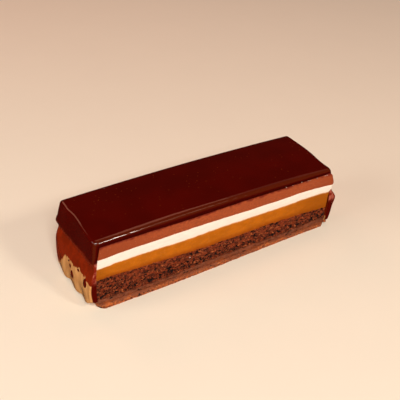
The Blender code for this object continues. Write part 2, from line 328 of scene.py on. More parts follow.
def rounded_corner(x, y, z, skin):
    """Moves a point near an upright edge inward, so that the edge is round in plan."""
    side = 1.0 if x > 0.0 else -1.0
    radius = CORNER_RADIUS
    if y < 0.0:
        foot = FOOT_CORNER_RADIUS if skin else LAYER_CORNER_RADIUS
        foot *= 1.0 if side < 0.0 else RIGHT_FOOT_SHARE
        radius += foot * max(0.0, 1.0 - z / CORNER_BLEND_HEIGHT) ** 2
    straight_x = layer_end(side, z) - radius
    if skin:
        straight_x += skin_thickness(y, z) + SKIN_GAP
    straight_y = HALF_WIDTH + LIP_OVERHANG - radius
    past_x = (abs(x) - straight_x) / radius
    past_y = (abs(y) - straight_y) / radius
    if past_x <= 0.0 or past_y <= 0.0:
        return x, y
    round_x = past_x * math.sqrt(max(0.0, 1.0 - 0.5 * min(past_y, 1.2) ** 2))
    round_y = past_y * math.sqrt(max(0.0, 1.0 - 0.5 * min(past_x, 1.2) ** 2))
    return side * (straight_x + radius * round_x), math.copysign(straight_y + radius * round_y, y)


def leaned(x, y, z):
    """The shift of a point toward the back that makes the front side lean."""
    run = smooth_step((x - LEAN_START) / (HALF_LENGTH - LEAN_START))
    frontness = 0.5 - 0.5 * y / HALF_WIDTH
    return FRONT_LEAN * run * max(0.0, 1.0 - z / TOP_HEIGHT) * frontness


def settled(x, y, z, skin=False):
    """Takes a point of the straight-edged bar to its place on the real one."""
    x, y = rounded_corner(x, y, z, skin)
    return Vector((x - FOOTPRINT_MIDDLE, y + leaned(x, y, z), z))


def chance(point, salt=0.0):
    """A number from 0 to 1 that always is the same for the same point."""
    value = math.sin(point.x * 12.9898 + point.y * 78.233 + point.z * 37.719 + salt) * 43758.5453
    return value - math.floor(value)


def lattice_box(along, across, up):
    """A closed box of square faces whose points have whole-number coordinates."""
    shape = bmesh.new()
    bmesh.ops.create_cube(shape, size=1.0)
    for axis, steps in enumerate((along, across, up)):
        if steps > 1:
            edges = [e for e in shape.edges if abs(e.verts[0].co[axis] - e.verts[1].co[axis]) > 0.5]
            bmesh.ops.subdivide_edges(shape, edges=edges, cuts=steps - 1, use_grid_fill=True)
    for vertex in shape.verts:
        vertex.co.x = round((vertex.co.x + 0.5) * along)
        vertex.co.y = round((vertex.co.y + 0.5) * across)
        vertex.co.z = round((vertex.co.z + 0.5) * up)
    return shape


def clear(name):
    """Takes away an object that an earlier run of the same step left."""
    old = bpy.data.objects.get(name)
    if old:
        bpy.data.objects.remove(old, do_unlink=True)


def finish(shape, name, material, nodes):
    """Scales a shape to the sizes asked for and makes it the piece that stands for the nodes."""
    size = bpy.context.scene.cake_bar_size
    stretch = Vector(
        (
            size.length / (2.0 * HALF_LENGTH),
            size.width / (2.0 * HALF_WIDTH),
            size.height / TOP_HEIGHT,
        )
    )
    bmesh.ops.scale(shape, vec=stretch, verts=shape.verts)
    bmesh.ops.recalc_face_normals(shape, faces=shape.faces)
    clear(name)
    mesh = bpy.data.meshes.new(name)
    shape.to_mesh(mesh)
    shape.free()
    mesh.shade_smooth()
    mesh.set_sharp_from_angle(angle=math.radians(62))
    mesh.materials.append(material)
    piece = bpy.data.objects.new(name, mesh)
    bpy.context.scene.collection.objects.link(piece)
    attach(piece, "root")
    if nodes:
        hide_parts(*nodes)
    return piece


class Recipe:
    """A material, with short ways to add nodes to it. Its patterns are laid out in millimetres."""

    def __init__(self, name):
        self.material = bpy.data.materials.get(name) or bpy.data.materials.new(name)
        self.material.use_nodes = True
        self.tree = self.material.node_tree
        self.tree.nodes.clear()
        output = self.new("OutputMaterial")
        self.shader = self.new("BsdfPrincipled")
        self.tree.links.new(self.shader.outputs["BSDF"], output.inputs["Surface"])
        place = self.new("TexCoord")
        self.place = self.spread(place.outputs["Object"], (1.0 / MM,) * 3)

    def new(self, kind):
        """Adds a node of the given kind."""
        return self.tree.nodes.new("ShaderNode" + kind)

    def put(self, node, inputs):
        """Sets or links a node's inputs by name or number."""
        for key, value in inputs.items():
            if isinstance(value, bpy.types.NodeSocket):
                self.tree.links.new(value, node.inputs[key])
            else:
                node.inputs[key].default_value = value
        return node

    def spread(self, vector, scale):
        """A vector with each of its parts multiplied."""
        node = self.new("Mapping")
        return self.put(node, {"Vector": vector, "Scale": scale}).outputs[0]

    def clouds(self, size, detail=3.0, roughness=0.55, wide=1.0, tall=1.0):
        """Soft noise with features of about the given size."""
        vector = self.spread(self.place, (1.0 / wide, 1.0, 1.0 / tall))
        node = self.new("TexNoise")
        inputs = {"Vector": vector, "Scale": 1.0 / size, "Detail": detail, "Roughness": roughness}
        return self.put(node, inputs).outputs["Fac"]

    def cells(self, size, wide=1.0):
        """The distance to the nearest of scattered points and a colour that goes with each."""
        vector = self.spread(self.place, (1.0 / wide, 1.0, 1.0))
        node = self.new("TexVoronoi")
        self.put(node, {"Vector": vector, "Scale": 1.0 / size})
        return node.outputs["Distance"], node.outputs["Color"]

    def stored(self, name):
        """A number that the mesh carries at its points."""
        node = self.new("Attribute")
        node.attribute_name = name
        return node.outputs["Fac"]

    def ramp(self, value, low, high, start=0.0, end=1.0):
        """Takes the range from low to high smoothly to the one from start to end."""
        node = self.new("MapRange")
        node.interpolation_type = "SMOOTHSTEP"
        inputs = {"Value": value, "From Min": low, "From Max": high, "To Min": start, "To Max": end}
        return self.put(node, inputs).outputs["Result"]

    def math(self, operation, first, second):
        """Two numbers put together."""
        node = self.new("Math")
        node.operation = operation
        return self.put(node, {0: first, 1: second}).outputs[0]

    def blend(self, factor, first, second):
        """Two colours put together."""
        node = self.new("Mix")
        node.data_type = "RGBA"
        return self.put(node, {0: factor, 6: opaque(first), 7: opaque(second)}).outputs[2]

    def mottled(self, color, dark, light, value, low, high):
        """Two shades of a colour, the lighter one where a value is high."""
        return self.blend(self.ramp(value, low, high), shade(color, dark), shade(color, light))

    def toward(self, color, other, value, low, high, share=1.0):
        """Takes a colour toward another, up to a share, where a value goes from low to high."""
        return self.blend(self.ramp(value, low, high, 0.0, share), color, other)

    def uneven(self, name, spread, size, low=0.3, high=0.7, **kind):
        """A stored number with soft noise on it, by up to the spread either way."""
        wobble = self.ramp(self.clouds(size, **kind), low, high, -spread, spread)
        return self.math("ADD", self.stored(name), wobble)

    def dots(self, size, edge, core, rare, common, share, wide=1.0):
        """Round dots around some of a set of scattered points."""
        distance, tint = self.cells(size, wide)
        dot = self.math("MULTIPLY", self.ramp(distance, edge, core), self.ramp(tint, rare, common))
        return self.math("MULTIPLY", dot, share)

    def relief(self, height, depth, strength):
        """A bump of the given depth in millimetres."""
        node = self.new("Bump")
        self.put(node, {"Height": height, "Distance": depth * MM, "Strength": strength})
        return node.outputs["Normal"]

    def done(self, **inputs):
        """Fills in the shader and gives back the material."""
        named = {key.replace("_", " ").title(): value for key, value in inputs.items()}
        proper = {"Ior": "IOR", "Coat Ior": "Coat IOR", "Specular Ior Level": "Specular IOR Level"}
        self.put(self.shader, {proper.get(key, key): value for key, value in named.items()})
        return self.material


def opaque(color):
    """A colour from the settings with its fourth number, or a socket as it is."""
    if isinstance(color, bpy.types.NodeSocket):
        return color
    return (color[0], color[1], color[2], 1.0)


def shade(color, *factors):
    """A darker or lighter colour, by one factor or by one for each of its parts."""
    if len(factors) == 1:
        factors *= 3
    return tuple(part * factor for part, factor in zip(color[:3], factors))


def pore_depth(pores, x, z, level, salt):
    """Depth of the open pores at a place on a cut side, from 0 to 1. They crowd low in a layer."""
    if pores.share == 0.0:
        return 0.0
    deepest = 0.0
    crowding = PORE_BAND_SHARE * math.exp(-(((level - PORE_BAND) / PORE_BAND_WIDTH) ** 2))
    patch = 0.3 * noise.noise(Vector((x / 11.0, z / 6.0, salt)))
    for size, weight in ((pores.cell, 1.0), (0.52 * pores.cell, 0.55)):
        place = Vector((x / (size * pores.stretch), z / size, salt))
        place.x += PORE_WARP * noise.noise(place * 2.3)
        place.y += PORE_WARP * noise.noise(place * 2.3 + Vector((9.0, 0.0, 0.0)))
        for point in noise.voronoi(place)[1][:3]:
            if chance(point, salt) + patch - crowding < pores.share:
                width = PORE_SIZE + PORE_SIZE_SPREAD * chance(point, salt + 3.0) ** 2
                away = math.hypot(place.x - point.x, place.y - point.y)
                open_here = smooth_step(1.35 - away / width)
                deepest = max(deepest, weight * open_here * (0.45 + 0.55 * chance(point, salt + 7.0)))
    return deepest


def crumb_relief(side, x, z, salt):
    """How far the crumb of a cut side stands out or back."""
    place = Vector((x / side.grain + salt, z / (0.8 * side.grain), salt))
    height = 0.7 * noise.noise(place) + 0.5 * noise.noise(place * 2.3)
    height += 0.42 * noise.noise(place * 4.9) + 0.25 * noise.noise(place * 10.0)
    return side.roughness * height


def smear(along, y, z):
    """How far the knife dragged the layers over the glaze, or back, at the right end's front."""
    near = smooth_step((along - SMEAR_START) / SMEAR_LENGTH)
    near *= smooth_step((-y - SMEAR_FRONT) / SMEAR_WIDTH)
    return near * table_value(END_DRAG, z) if near > 0.0 else 0.0


def cut_layer(lower, upper, side, pores, cell):
    """One layer of the bar, from cut side to cut side and from end to end.

    Its points store their level in the layer, their pore depth and their place along the bar.
    """
    middle = 0.0 if lower is None else lower.height
    rows = max(3, round((upper.height - middle) / cell))
    columns = round(2.0 * HALF_LENGTH / cell)
    shape = lattice_box(columns, LAYER_ACROSS, rows)
    stored_level = shape.verts.layers.float.new("level")
    stored_pit = shape.verts.layers.float.new("pit")
    stored_along = shape.verts.layers.float.new("along")
    for vertex in shape.verts:
        i, j, k = vertex.co
        along = 2.0 * i / columns - 1.0
        across = math.sin(0.5 * math.pi * (2.0 * j / LAYER_ACROSS - 1.0))
        level = k / rows
        x = along * HALF_LENGTH
        for _ in range(2):
            bottom = border_height(lower, x) if lower else 0.0
            z = bottom + level * (border_height(upper, x) - bottom)
            x = along * layer_end(math.copysign(1.0, along), z)
        y = across * HALF_WIDTH
        if j in (0, LAYER_ACROSS):
            salt = upper.height + 5.0 * j
            edge = 0.0 if k in (0, rows) else 1.0
            pit = pore_depth(pores, x, z, level, salt) * (0.35 + 0.65 * edge)
            bow = side.bulge * (1.0 - (2.0 * level - 1.0) ** 2)
            relief = crumb_relief(side, x, z, salt) * (0.45 + 0.55 * edge)
            y = math.copysign(HALF_WIDTH + side.proud + bow + relief - pores.depth * pit, y)
            vertex[stored_pit] = pit
        vertex[stored_level] = level
        vertex[stored_along] = along
        drag = smear(along, y, z)
        vertex.co = settled(x, y, z) + Vector((drag, -SMEAR_FORWARD * max(0.0, drag), 0.0))
    return shape


def lobe_phase(y):
    """1 in a notch of the rim, 0 at the tip of a lobe."""
    return 0.5 + 0.5 * math.cos(math.tau * (y - NOTCH_PLACE) / LOBE_LENGTH)


def rim_height(side, y):
    """Height of the glaze's lower edge, which hangs in lobes and rises to the cut sides."""
    front = FRONT_RISE * smooth_step((-y - FRONT_RISE_START) / (HALF_WIDTH - FRONT_RISE_START))
    front *= RIGHT_FRONT_RISE if side > 0.0 else 1.0
    back = BACK_RISE * smooth_step((y - FRONT_RISE_START) / (HALF_WIDTH - FRONT_RISE_START))
    ragged = 0.25 * noise.noise(Vector((y / 2.1, 4.0, 0.0)))
    return RIM_HEIGHT + RIM_NOTCH * lobe_phase(y) ** 2 + front + back + ragged


def shoulder_height(y):
    """Height of the shoulder's lip, a little lower toward the front."""
    across = smooth_step(0.5 + 0.5 * y / HALF_WIDTH)
    wave = 0.45 * noise.noise(Vector((y / 8.0, 0.7, 0.0)))
    return SHOULDER_FRONT + (SHOULDER_BACK - SHOULDER_FRONT) * across + wave


def drop_nearness(y, z):
    """1 in the middle of a hanging drop, 0 at its edge, and below 0 away from every drop."""
    nearest = -9.0
    for place, height, half_width, half_height in END_DROPS:
        narrowing = 1.0 - 0.35 * smooth_step((z - height) / half_height)
        away = math.hypot((y - place) / (half_width * narrowing), (z - height) / half_height)
        nearest = max(nearest, 1.0 - away)
    return nearest


def skin_reach(side, y, z):
    """Distance from the middle to the outside of the glaze on one end.

    The right end has a run of glaze that sags near the front edge. Both ends have drape lines,
    which grow toward the foot, and hanging drops.
    """
    across = smooth_step(0.5 + 0.5 * y / HALF_WIDTH)
    size = SHOULDER_LIP_FRONT + (SHOULDER_LIP_BACK - SHOULDER_LIP_FRONT) * across
    above = (z - shoulder_height(y)) / SHOULDER_LIP_SIZE
    lip = size * (math.exp(-(above**2)) - math.exp(-((above + 1.7) ** 2)))
    swell = LOBE_SWELL * (0.5 - lobe_phase(y)) * smooth_step(1.0 - z / (1.6 * BULGE_HEIGHT))
    drape = 0.08 * noise.noise(Vector((y / 2.6, z / 12.0, 3.0 * side)))
    drape += 0.30 * noise.noise(Vector((y / 7.0, z / 12.0, 8.0 * side)))
    drape *= smooth_step((SHOULDER_FRONT - z) / 8.0)
    drop = 0.45 * smooth_step(1.6 * max(0.0, drop_nearness(y * -side, z)))
    reach = layer_end(side, z) + SKIN_GAP + skin_thickness(y, z) + swell + lip + drape + drop
    if side > 0.0:
        behind = (y + HALF_WIDTH) / RUN_DEPTH
        reach += RUN_SIZE * math.exp(-(((z - RUN_HEIGHT) / RUN_SPREAD) ** 2) - behind**2)
    return reach


def glaze_outside(side, y):
    """The outer points of one end at a place across the bar, from the rim to the top."""
    points = []
    rim = rim_height(side, y)
    shoulder = shoulder_height(y)
    for step in range(WALL_STEPS + 1):
        z = rim + (shoulder - rim) * step / WALL_STEPS
        points.append((skin_reach(side, y, z), z))
    start = Vector(points[-1])
    wander = 0.5 * noise.noise(Vector((y / 6.0, 1.3, 5.0 * side)))
    ridge_x = RIDGE_REACH_LEFT + wander
    if side > 0.0:
        corner = smooth_step((-y - CORNER_START) / CORNER_WIDTH)
        ridge_x = RIDGE_REACH_RIGHT + 0.3 * wander + CORNER_REACH * corner
    ridge = Vector((ridge_x, top_surface(side * ridge_x, y) - RIDGE_DROP))
    rise = start + Vector((0.0, SHOULDER_RISE))
    pull = ridge + 0.35 * (start - ridge) + Vector((SHOULDER_ROUND, SHOULDER_ROUND))
    for step in range(1, SHOULDER_STEPS + 1):
        t = step / SHOULDER_STEPS
        low = start * (1 - t) ** 3 + rise * 3 * t * (1 - t) ** 2
        points.append(tuple(low + pull * 3 * t**2 * (1 - t) + ridge * t**3))
    inward = ridge_x - RIDGE_WIDTH
    inner = Vector((inward, top_surface(side * inward, y)))
    lean = (ridge - pull).normalized()
    crest = ridge + lean * 0.8 * RIDGE_DROP
    for step in range(1, 7):
        t = step / 6
        points.append(tuple(ridge * (1 - t) ** 2 + crest * 2 * t * (1 - t) + inner * t**2))
    return points


def glaze_inside(side, y, count):
    """The inner points of one end that go with glaze_outside, from the rim over the corner."""
    points = []
    rim = rim_height(side, y)
    corner_z = border_height(UNDER_GLAZE, side * layer_end(side, UNDER_GLAZE.height))
    upright = count - 6
    for step in range(upright):
        z = rim + (corner_z - rim) * step / (upright - 1)
        points.append((layer_end(side, z) + 0.05, z))
    for step in range(1, 7):
        inward = points[upright - 1][0] - 2.5 * step / 6
        points.append((inward, border_height(UNDER_GLAZE, side * inward)))
    return points


def glaze_stations(y):
    """Matching lists of outer and inner points, from the left rim over the top to the right rim."""
    outer_left = [(-reach, z) for reach, z in glaze_outside(-1.0, y)]
    inner_left = [(-reach, z) for reach, z in glaze_inside(-1.0, y, len(outer_left))]
    outer_right = glaze_outside(1.0, y)[::-1]
    inner_right = glaze_inside(1.0, y, len(outer_right))[::-1]
    outer_top = []
    inner_top = []
    for step in range(1, TOP_STEPS):
        t = step / TOP_STEPS
        x = outer_left[-1][0] + t * (outer_right[0][0] - outer_left[-1][0])
        outer_top.append((x, top_surface(x, y)))
        x = inner_left[-1][0] + t * (inner_right[0][0] - inner_left[-1][0])
        inner_top.append((x, border_height(UNDER_GLAZE, x)))
    return outer_left + outer_top + outer_right, inner_left + inner_top + inner_right


def lip_profile():
    """Steps of the lip from the cut side to the flat top: distance inward, share of thickness."""
    slope_height = LIP_HEIGHT * LIP_TAPER - LIP_ROUND * (1.0 - math.sin(LIP_SLOPE))
    slope_run = slope_height * math.tan(LIP_SLOPE)
    profile = []
    for step in range(SLOPE_STEPS):
        t = step / SLOPE_STEPS
        profile.append((t * slope_run, LIP_TAPER - t * slope_height / LIP_HEIGHT))
    for step in range(RIDGE_STEPS + 1):
        angle = LIP_SLOPE + (0.5 * math.pi - LIP_SLOPE) * step / RIDGE_STEPS
        run = slope_run + LIP_ROUND * (math.cos(LIP_SLOPE) - math.cos(angle))
        profile.append((run, LIP_ROUND * (1.0 - math.sin(angle)) / LIP_HEIGHT))
    return profile


def across_stations():
    """Places across the bar, each with the share of the thickness that the lip takes off there."""
    edge = HALF_WIDTH + LIP_OVERHANG
    front = [(-edge + run, share) for run, share in lip_profile()]
    start = front[-1][0]
    middle = [(start * (1.0 - 2.0 * step / GLAZE_ACROSS), 0.0) for step in range(1, GLAZE_ACROSS)]
    back = [(-y, share) for y, share in reversed(front)]
    return front + middle + back


def lip_ripple(x, y, share):
    """How far the uneven flow of the glaze stands out along the lip."""
    flow = noise.noise(Vector((x / 3.0, 2.2 * share, y)))
    flow += 0.9 * noise.noise(Vector((x / 6.0, share, y + 5.0)))
    nick = NICK_DEPTH * math.exp(-(((x - NICK_PLACE) / NICK_WIDTH) ** 2)) if y < 0.0 else 0.0
    return (LIP_RIPPLE * flow - nick) * smooth_step(6.0 * share)


def glaze_shape():
    """The glaze: a plate over the top with a skirt down each end.

    Its points store how far they are below the shoulder, above the edge of the painted reflection and
    in a drop.
    """
    places = across_stations()
    lines = [glaze_stations(y) for y, share in places]
    shape = lattice_box(len(lines[0][0]) - 1, len(places) - 1, 1)
    stored_wall = shape.verts.layers.float.new("wall")
    stored_painted_reflection = shape.verts.layers.float.new("painted_reflection")
    stored_drop = shape.verts.layers.float.new("drop")
    stored_lip = shape.verts.layers.float.new("lip")
    for vertex in shape.verts:
        i, j, k = (int(value) for value in vertex.co)
        y, share = places[j]
        outside, inside = (Vector(line[i]) for line in lines[j])
        side = math.copysign(1.0, outside.x)
        point = inside
        if k == 1:
            below = shoulder_height(y) + KEEN_START - outside.y
            keen = 1.0 + SKIN_KEENNESS * smooth_step(below / KEEN_RUN)
            point = outside + (inside - outside) * share**keen
            y += math.copysign(lip_ripple(outside.x, y, share), y)
        vertex[stored_wall] = shoulder_height(y) - 0.4 - outside.y
        vertex[stored_painted_reflection] = outside.y - table_value(PAINTED_REFLECTION_EDGE, y * -side)
        vertex[stored_drop] = drop_nearness(y * -side, outside.y)
        vertex[stored_lip] = share
        vertex.co = settled(point.x, y, point.y, skin=True)
    return shape


def crumb_chunk(shape, place, size, rng):
    """Adds one crumb, a small lump with an uneven skin, and gives back its points."""
    made = bmesh.ops.create_icosphere(shape, subdivisions=2, radius=1.0)["verts"]
    offset = Vector((rng.uniform(-50, 50), rng.uniform(-50, 50), rng.uniform(-50, 50)))
    stretch = Vector((rng.uniform(0.8, 1.4), rng.uniform(0.6, 1.0), rng.uniform(0.6, 1.0)))
    turn = Quaternion((rng.random(), rng.random(), rng.random()), rng.uniform(0, math.tau))
    for vertex in made:
        lump = 1.0 + 0.45 * noise.noise(vertex.co * 1.7 + offset)
        point = vertex.co * lump * size
        point = Vector((point.x * stretch.x, point.y * stretch.y, point.z * stretch.z))
        vertex.co = turn @ point + place
    return made


class BarSize(PropertyGroup):
    """The sizes of the bar."""

    length: FloatProperty(
        name="Length", description="Length of the flat top",
        default=2.0 * HALF_LENGTH * MM, min=0.06, max=0.4, unit="LENGTH",
    )
    width: FloatProperty(
        name="Width", description="Distance between the two cut sides",
        default=2.0 * HALF_WIDTH * MM, min=0.02, max=0.1, unit="LENGTH",
    )
    height: FloatProperty(
        name="Height", description="Height of the top of the glaze",
        default=TOP_HEIGHT * MM, min=0.02, max=0.1, unit="LENGTH",
    )


class BarColors(PropertyGroup):
    """The colours of the layers."""

    glaze: FloatVectorProperty(
        name="Glaze", description="The thick, dark glaze",
        subtype="COLOR", default=(0.058, 0.0010, 0.0001),
    )
    # Red-brown of the glaze's skin on the ends: its own colour where thinner, raised to hold painted
    # light and a painted reflection of red surroundings.
    thin_glaze_and_reflection: FloatVectorProperty(
        name="Thin Glaze", description="Glaze in a thin skin",
        subtype="COLOR", default=(0.21, 0.016, 0.002),
    )
    mousse: FloatVectorProperty(
        name="Mousse", description="The chocolate mousse",
        subtype="COLOR", default=(0.385, 0.068, 0.0145),
    )
    cream: FloatVectorProperty(
        name="Cream", description="The white cream",
        subtype="COLOR", default=(0.92, 0.81, 0.70),
    )
    jelly: FloatVectorProperty(
        name="Jelly", description="The apricot jelly",
        subtype="COLOR", default=(0.495, 0.128, 0.0020),
    )
    sponge: FloatVectorProperty(
        name="Sponge", description="The chocolate sponge",
        subtype="COLOR", default=(0.188, 0.0250, 0.0035),
    )
    ganache: FloatVectorProperty(
        name="Ganache", description="The thin ganache",
        subtype="COLOR", default=(0.215, 0.049, 0.016),
    )
    crunch: FloatVectorProperty(
        name="Crunch", description="The crunchy base",
        subtype="COLOR", default=(0.46, 0.098, 0.014),
    )
    # The colour of the open pores is painted shade in their depth.
    pore: FloatVectorProperty(
        name="Pores", description="The depth of open pores",
        subtype="COLOR", default=(0.012, 0.003, 0.0015),
    )
    speck: FloatVectorProperty(
        name="Specks", description="Tiny specks in the glaze",
        subtype="COLOR", default=(0.17, 0.032, 0.006),
    )


class StageLook(PropertyGroup):
    """The floor and the light."""

    floor: FloatVectorProperty(
        name="Floor", description="The plain floor",
        subtype="COLOR", default=(0.90, 0.83, 0.68),
    )
    key: FloatProperty(
        name="Key Light", description="Power of the large light in front",
        default=12.4, min=0.0, unit="POWER",
    )
    strip: FloatProperty(
        name="Strip Light", description="Power of the narrow light in front",
        default=1.5, min=0.0, unit="POWER",
    )
    side: FloatProperty(
        name="Side Light", description="Power of the light at the left",
        default=1.15, min=0.0, unit="POWER",
    )
    rim: FloatProperty(
        name="Rim Lights", description="Power of the warm lights behind",
        default=0.55, min=0.0, unit="POWER",
    )
    surround: FloatProperty(
        name="Surround", description="Brightness of the room",
        default=0.05, min=0.0, max=2.0,
    )


def crunch_finish(colors):
    """Crisp, reddish-brown crumb with darker and paler grains, browner toward the ganache."""
    recipe = Recipe("crunch_base")
    color = recipe.mottled(colors.crunch, 0.62, 1.2, recipe.clouds(1.1), 0.38, 0.64)
    color = recipe.toward(color, colors.sponge, recipe.cells(0.9)[1], 0.62, 0.80, 0.55)
    crisp = recipe.clouds(0.8, detail=5.0, roughness=0.75)
    color = recipe.toward(color, PALE_GRAIN, crisp, 0.56, 0.64, 0.7)
    level = recipe.uneven("level", 0.35, 3.2, 0.34, 0.66, detail=4.0, wide=1.6)
    color = recipe.toward(color, BASE_TOP, level, 0.42, 0.95, 0.8)
    # Painted shade in the open pores.
    color = recipe.toward(color, colors.pore, recipe.stored("pit"), 0.12, 0.6)
    bump = recipe.relief(recipe.clouds(0.35), 0.22, 0.8)
    return recipe.done(base_color=color, roughness=0.72, normal=bump)


def ganache_finish(colors):
    """Smooth, slightly greyish ganache, mixed with the base at its foot, with a painted shadow at its
    top.
    """
    recipe = Recipe("ganache")
    color = recipe.mottled(colors.ganache, 0.78, 1.2, recipe.clouds(2.2, wide=1.8), 0.35, 0.68)
    veil = recipe.clouds(1.5, detail=5.0, roughness=0.7, wide=1.6)
    color = recipe.toward(color, GANACHE_VEIL, veil, 0.48, 0.62, 0.6)
    level = recipe.uneven("level", 0.25, 3.2, 0.34, 0.66, detail=4.0, wide=1.6)
    color = recipe.toward(color, shade(colors.crunch, 0.75), level, 0.35, 0.0, 0.7)
    # A painted shadow along the top, under the sponge.
    color = recipe.toward(color, GANACHE_TOP_SHADOW, level, 0.80, 1.1, 0.65)
    color = recipe.toward(color, shade(colors.sponge, 0.6), recipe.clouds(0.8), 0.56, 0.64, 0.8)
    # Painted shade in the open pores.
    color = recipe.toward(color, colors.pore, recipe.stored("pit"), 0.12, 0.6)
    bump = recipe.relief(recipe.clouds(0.8), 0.16, 0.6)
    return recipe.done(base_color=color, roughness=0.46, normal=bump)


def sponge_finish(colors):
    """Open chocolate crumb, with painted shade in its pores and paler flecks."""
    recipe = Recipe("sponge")
    mottle = recipe.clouds(1.6, detail=6.0, roughness=0.75, wide=1.4)
    color = recipe.mottled(colors.sponge, 0.30, 1.3, mottle, 0.40, 0.58)
    fleck = recipe.clouds(1.0, detail=5.0, roughness=0.8, wide=1.4)
    color = recipe.toward(color, SPONGE_FLECK, fleck, 0.54, 0.60, 0.9)
    # Dark dots are painted shade of holes, and the open pores get painted shade in their depth.
    painted_hole_shade = recipe.dots(1.2, 0.36, 0.20, 0.56, 0.62, 0.75, wide=1.3)
    color = recipe.blend(painted_hole_shade, color, colors.pore)
    color = recipe.toward(color, colors.pore, recipe.stored("pit"), 0.05, 0.32)
    bump = recipe.relief(recipe.clouds(0.6, detail=4.0, roughness=0.65), 0.6, 1.0)
    return recipe.done(base_color=color, roughness=0.7, specular_ior_level=0.2, normal=bump)


def jelly_finish(colors):
    """Amber apricot jelly, with painted shade toward its foot and its ends."""
    recipe = Recipe("jelly")
    level = recipe.stored("level")
    along = recipe.stored("along")
    mottle = recipe.clouds(2.4, detail=4.0, wide=1.8)
    color = recipe.mottled(colors.jelly, 0.88, 1.05, mottle, 0.34, 0.66)
    color = recipe.toward(color, JELLY_MILK, recipe.clouds(1.0, detail=4.0), 0.52, 0.72, 0.08)
    # Painted shade toward the foot of the jelly.
    color = recipe.toward(color, shade(colors.jelly, 0.62, 0.44, 0.25), level, 0.42, 0.0, 0.85)
    # Painted shade toward both ends.
    right = recipe.ramp(along, 0.50, 0.95, 0.0, 0.75)
    left = recipe.ramp(along, -0.82, -1.0, 0.0, 0.6)
    ends = recipe.math("ADD", right, left)
    color = recipe.blend(ends, color, shade(colors.jelly, 0.62, 0.58, 0.25))
    color = recipe.toward(color, JELLY_TOP, level, 0.90, 1.0, 0.45)
    bump = recipe.relief(recipe.clouds(1.6, wide=2.0), 0.10, 0.6)
    return recipe.done(base_color=color, roughness=0.34, specular_ior_level=0.12, normal=bump)


def cream_finish(colors):
    """White cream with the faint drag of the knife, stained at its foot and its top."""
    recipe = Recipe("cream")
    level = recipe.stored("level")
    color = recipe.mottled(colors.cream, 0.95, 1.02, recipe.clouds(1.2, wide=4.0), 0.3, 0.7)
    color = recipe.toward(color, CREAM_FOOT, level, 0.12, 0.0, 0.5)
    color = recipe.toward(color, CREAM_TOP, level, 0.9, 1.0, 0.45)
    bump = recipe.relief(recipe.clouds(0.7, wide=3.0), 0.10, 0.5)
    return recipe.done(base_color=color, roughness=0.5, specular_ior_level=0.3, normal=bump)


def mousse_finish(colors):
    """Fine-grained mousse, stained by the glaze along its upper edge, with painted shade toward both
    ends.
    """
    recipe = Recipe("mousse")
    along = recipe.stored("along")
    grain = recipe.clouds(0.7, detail=5.0, roughness=0.7)
    color = recipe.mottled(colors.mousse, 0.80, 1.16, grain, 0.38, 0.62)
    color = recipe.toward(color, shade(colors.mousse, 0.8), recipe.clouds(9.0), 0.35, 0.65, 0.25)
    # Painted shade toward both ends.
    right = recipe.ramp(along, 0.75, 1.0, 0.0, 0.6)
    left = recipe.ramp(along, -0.3, -0.95, 0.0, 0.85)
    ends = recipe.math("ADD", right, left)
    color = recipe.blend(ends, color, shade(colors.mousse, 0.82, 0.74, 0.6))
    color = recipe.toward(color, MOUSSE_STAIN, recipe.uneven("level", 0.08, 2.4), 0.77, 0.95, 0.95)
    dark_dots = recipe.dots(0.8, 0.26, 0.12, 0.74, 0.78, 0.5)
    color = recipe.blend(dark_dots, color, shade(colors.mousse, 0.35))
    color = recipe.blend(recipe.dots(0.75, 0.30, 0.14, 0.66, 0.72, 0.45), color, MOUSSE_DOT)
    bump = recipe.relief(recipe.clouds(0.35, detail=4.0), 0.10, 0.7)
    return recipe.done(base_color=color, roughness=0.62, specular_ior_level=0.3, normal=bump)


